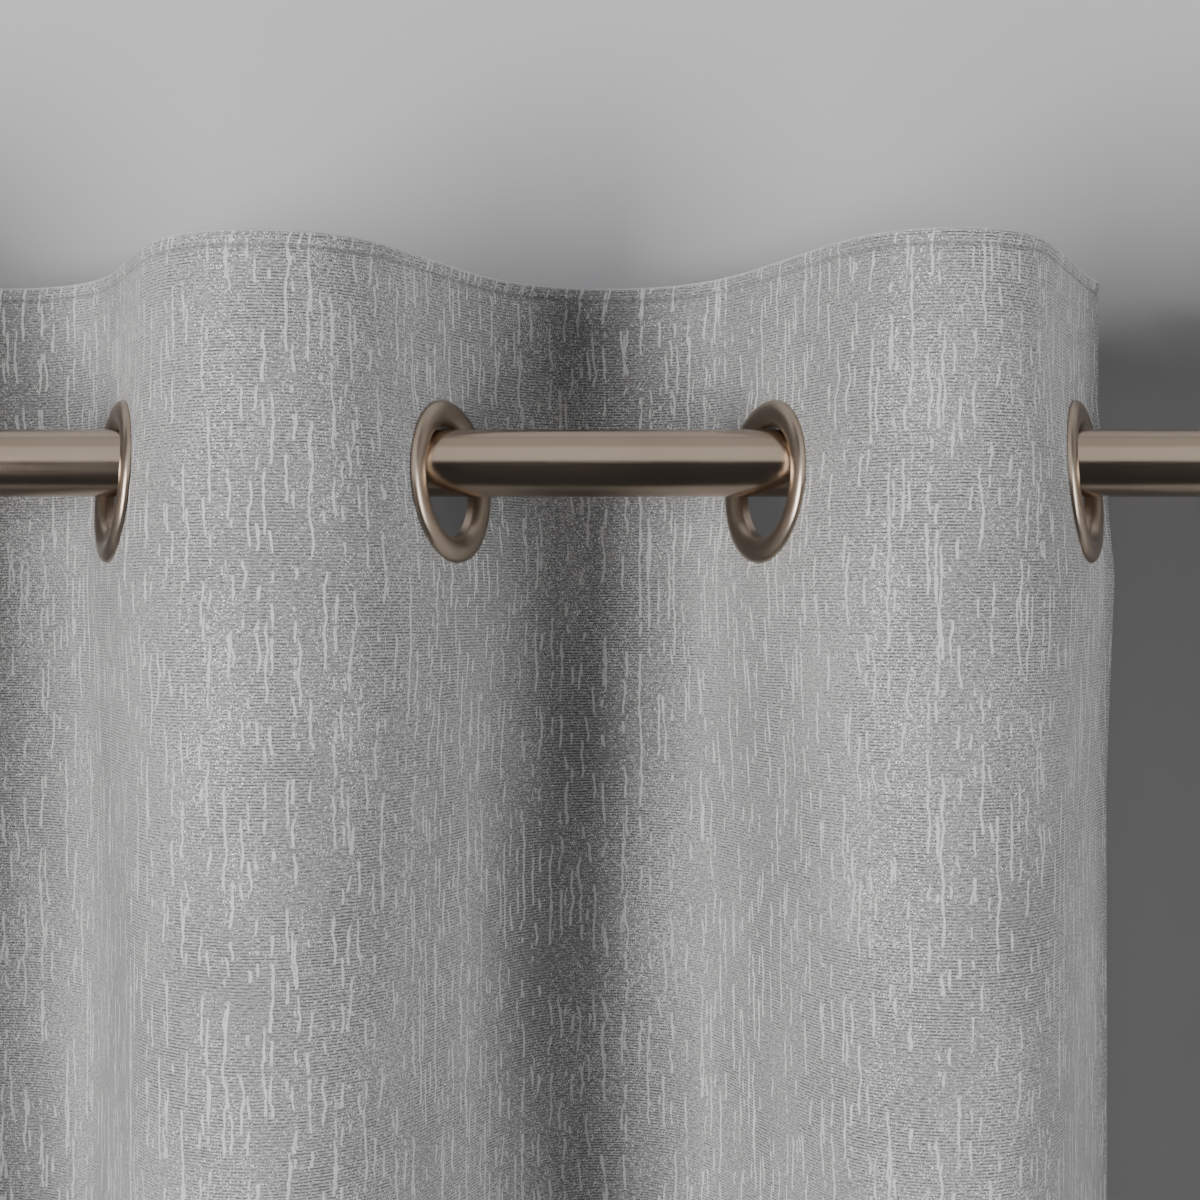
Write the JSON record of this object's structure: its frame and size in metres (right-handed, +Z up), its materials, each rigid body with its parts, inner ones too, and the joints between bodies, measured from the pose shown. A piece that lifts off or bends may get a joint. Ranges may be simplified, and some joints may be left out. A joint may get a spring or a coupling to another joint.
{
  "type": "eyelet curtains on a pole",
  "caption": "Pair of eyelet curtain panels hung in soft folds on a round metal pole with ball ends and wall brackets; each panel slides along the pole to open or close.",
  "frame": {"origin": "on the wall plane, midway between the two brackets, at the height of the pole's axis", "axes": "+X along the pole to the right as seen from the room, +Y into the wall, +Z up; the room is at -Y"},
  "size_m": [1.6642, 0.2038, 1.37],
  "materials": {
    "cloth": "silver-grey woven cloth with a fine cross rib and raised slub threads",
    "bronze": "satin bronze plated steel",
    "eyelet_bronze": "satin bronze plated rings",
    "steel": "zinc plated screws"
  },
  "bodies": {
    "pole_and_brackets": {"curtain_pole": "bronze", "left_bracket_wall_plate": "bronze", "left_bracket_arm": "bronze", "left_bracket_cradle": "bronze", "left_bracket_arm_screw": "steel", "left_bracket_pole_screw": "steel", "left_bracket_upper_wall_screw": "steel", "left_bracket_lower_wall_screw": "steel", "left_eyelet_1_front_ring": "eyelet_bronze", "left_eyelet_1_back_ring": "eyelet_bronze", "left_curtain_fold_1": "cloth", "left_curtain_return_edge": "cloth", "right_bracket_wall_plate": "bronze", "right_bracket_arm": "bronze", "right_bracket_cradle": "bronze", "right_bracket_arm_screw": "steel", "right_bracket_pole_screw": "steel", "right_bracket_upper_wall_screw": "steel", "right_bracket_lower_wall_screw": "steel", "right_eyelet_1_front_ring": "eyelet_bronze", "right_eyelet_1_back_ring": "eyelet_bronze", "right_curtain_fold_1": "cloth", "right_curtain_return_edge": "cloth"},
    "left_finial": {"left_finial_sleeve": "bronze", "left_finial_ball": "bronze", "left_finial_screw": "steel"},
    "left_eyelet_2": {"left_eyelet_2_front_ring": "eyelet_bronze", "left_eyelet_2_back_ring": "eyelet_bronze", "left_curtain_fold_2": "cloth"},
    "left_eyelet_3": {"left_eyelet_3_front_ring": "eyelet_bronze", "left_eyelet_3_back_ring": "eyelet_bronze", "left_curtain_fold_3": "cloth"},
    "left_eyelet_4": {"left_eyelet_4_front_ring": "eyelet_bronze", "left_eyelet_4_back_ring": "eyelet_bronze", "left_curtain_fold_4": "cloth"},
    "left_eyelet_5": {"left_eyelet_5_front_ring": "eyelet_bronze", "left_eyelet_5_back_ring": "eyelet_bronze", "left_curtain_fold_5": "cloth"},
    "left_eyelet_6": {"left_eyelet_6_front_ring": "eyelet_bronze", "left_eyelet_6_back_ring": "eyelet_bronze", "left_curtain_leading_edge": "cloth"},
    "right_finial": {"right_finial_sleeve": "bronze", "right_finial_ball": "bronze", "right_finial_screw": "steel"},
    "right_eyelet_2": {"right_eyelet_2_front_ring": "eyelet_bronze", "right_eyelet_2_back_ring": "eyelet_bronze", "right_curtain_fold_2": "cloth"},
    "right_eyelet_3": {"right_eyelet_3_front_ring": "eyelet_bronze", "right_eyelet_3_back_ring": "eyelet_bronze", "right_curtain_fold_3": "cloth"},
    "right_eyelet_4": {"right_eyelet_4_front_ring": "eyelet_bronze", "right_eyelet_4_back_ring": "eyelet_bronze", "right_curtain_fold_4": "cloth"},
    "right_eyelet_5": {"right_eyelet_5_front_ring": "eyelet_bronze", "right_eyelet_5_back_ring": "eyelet_bronze", "right_curtain_fold_5": "cloth"},
    "right_eyelet_6": {"right_eyelet_6_front_ring": "eyelet_bronze", "right_eyelet_6_back_ring": "eyelet_bronze", "right_curtain_leading_edge": "cloth"}
  },
  "joints": [
    {"name": "left_finial_pull", "type": "slide", "parent": "pole_and_brackets", "child": "left_finial", "axis": [-1, 0, 0], "range_m": [0, 0.022]},
    {"name": "left_panel_draw", "type": "slide", "parent": "pole_and_brackets", "child": "left_eyelet_2", "axis": [-1, 0, 0], "range_m": [-0.007, 0.06], "deforming": ["left_curtain_fold_1"]},
    {"name": "left_eyelet_3_slide", "type": "slide", "parent": "left_eyelet_2", "child": "left_eyelet_3", "axis": [-1, 0, 0], "range_m": [-0.007, 0.06], "deforming": ["left_curtain_fold_2"]},
    {"name": "left_eyelet_4_slide", "type": "slide", "parent": "left_eyelet_3", "child": "left_eyelet_4", "axis": [-1, 0, 0], "range_m": [-0.007, 0.06], "deforming": ["left_curtain_fold_3"]},
    {"name": "left_eyelet_5_slide", "type": "slide", "parent": "left_eyelet_4", "child": "left_eyelet_5", "axis": [-1, 0, 0], "range_m": [-0.007, 0.06], "deforming": ["left_curtain_fold_4"]},
    {"name": "left_eyelet_6_slide", "type": "slide", "parent": "left_eyelet_5", "child": "left_eyelet_6", "axis": [-1, 0, 0], "range_m": [-0.007, 0.06], "deforming": ["left_curtain_fold_5"]},
    {"name": "right_finial_pull", "type": "slide", "parent": "pole_and_brackets", "child": "right_finial", "axis": [1, 0, 0], "range_m": [0, 0.022]},
    {"name": "right_panel_draw", "type": "slide", "parent": "pole_and_brackets", "child": "right_eyelet_2", "axis": [1, 0, 0], "range_m": [-0.007, 0.06], "deforming": ["right_curtain_fold_1"]},
    {"name": "right_eyelet_3_slide", "type": "slide", "parent": "right_eyelet_2", "child": "right_eyelet_3", "axis": [1, 0, 0], "range_m": [-0.007, 0.06], "deforming": ["right_curtain_fold_2"]},
    {"name": "right_eyelet_4_slide", "type": "slide", "parent": "right_eyelet_3", "child": "right_eyelet_4", "axis": [1, 0, 0], "range_m": [-0.007, 0.06], "deforming": ["right_curtain_fold_3"]},
    {"name": "right_eyelet_5_slide", "type": "slide", "parent": "right_eyelet_4", "child": "right_eyelet_5", "axis": [1, 0, 0], "range_m": [-0.007, 0.06], "deforming": ["right_curtain_fold_4"]},
    {"name": "right_eyelet_6_slide", "type": "slide", "parent": "right_eyelet_5", "child": "right_eyelet_6", "axis": [1, 0, 0], "range_m": [-0.007, 0.06], "deforming": ["right_curtain_fold_5"]}
  ],
  "couplings": [
    {"joint": "left_eyelet_3_slide", "follows": "left_panel_draw", "ratio": 1},
    {"joint": "left_eyelet_4_slide", "follows": "left_panel_draw", "ratio": 1},
    {"joint": "left_eyelet_5_slide", "follows": "left_panel_draw", "ratio": 1},
    {"joint": "left_eyelet_6_slide", "follows": "left_panel_draw", "ratio": 1},
    {"joint": "right_eyelet_3_slide", "follows": "right_panel_draw", "ratio": 1},
    {"joint": "right_eyelet_4_slide", "follows": "right_panel_draw", "ratio": 1},
    {"joint": "right_eyelet_5_slide", "follows": "right_panel_draw", "ratio": 1},
    {"joint": "right_eyelet_6_slide", "follows": "right_panel_draw", "ratio": 1}
  ]
}
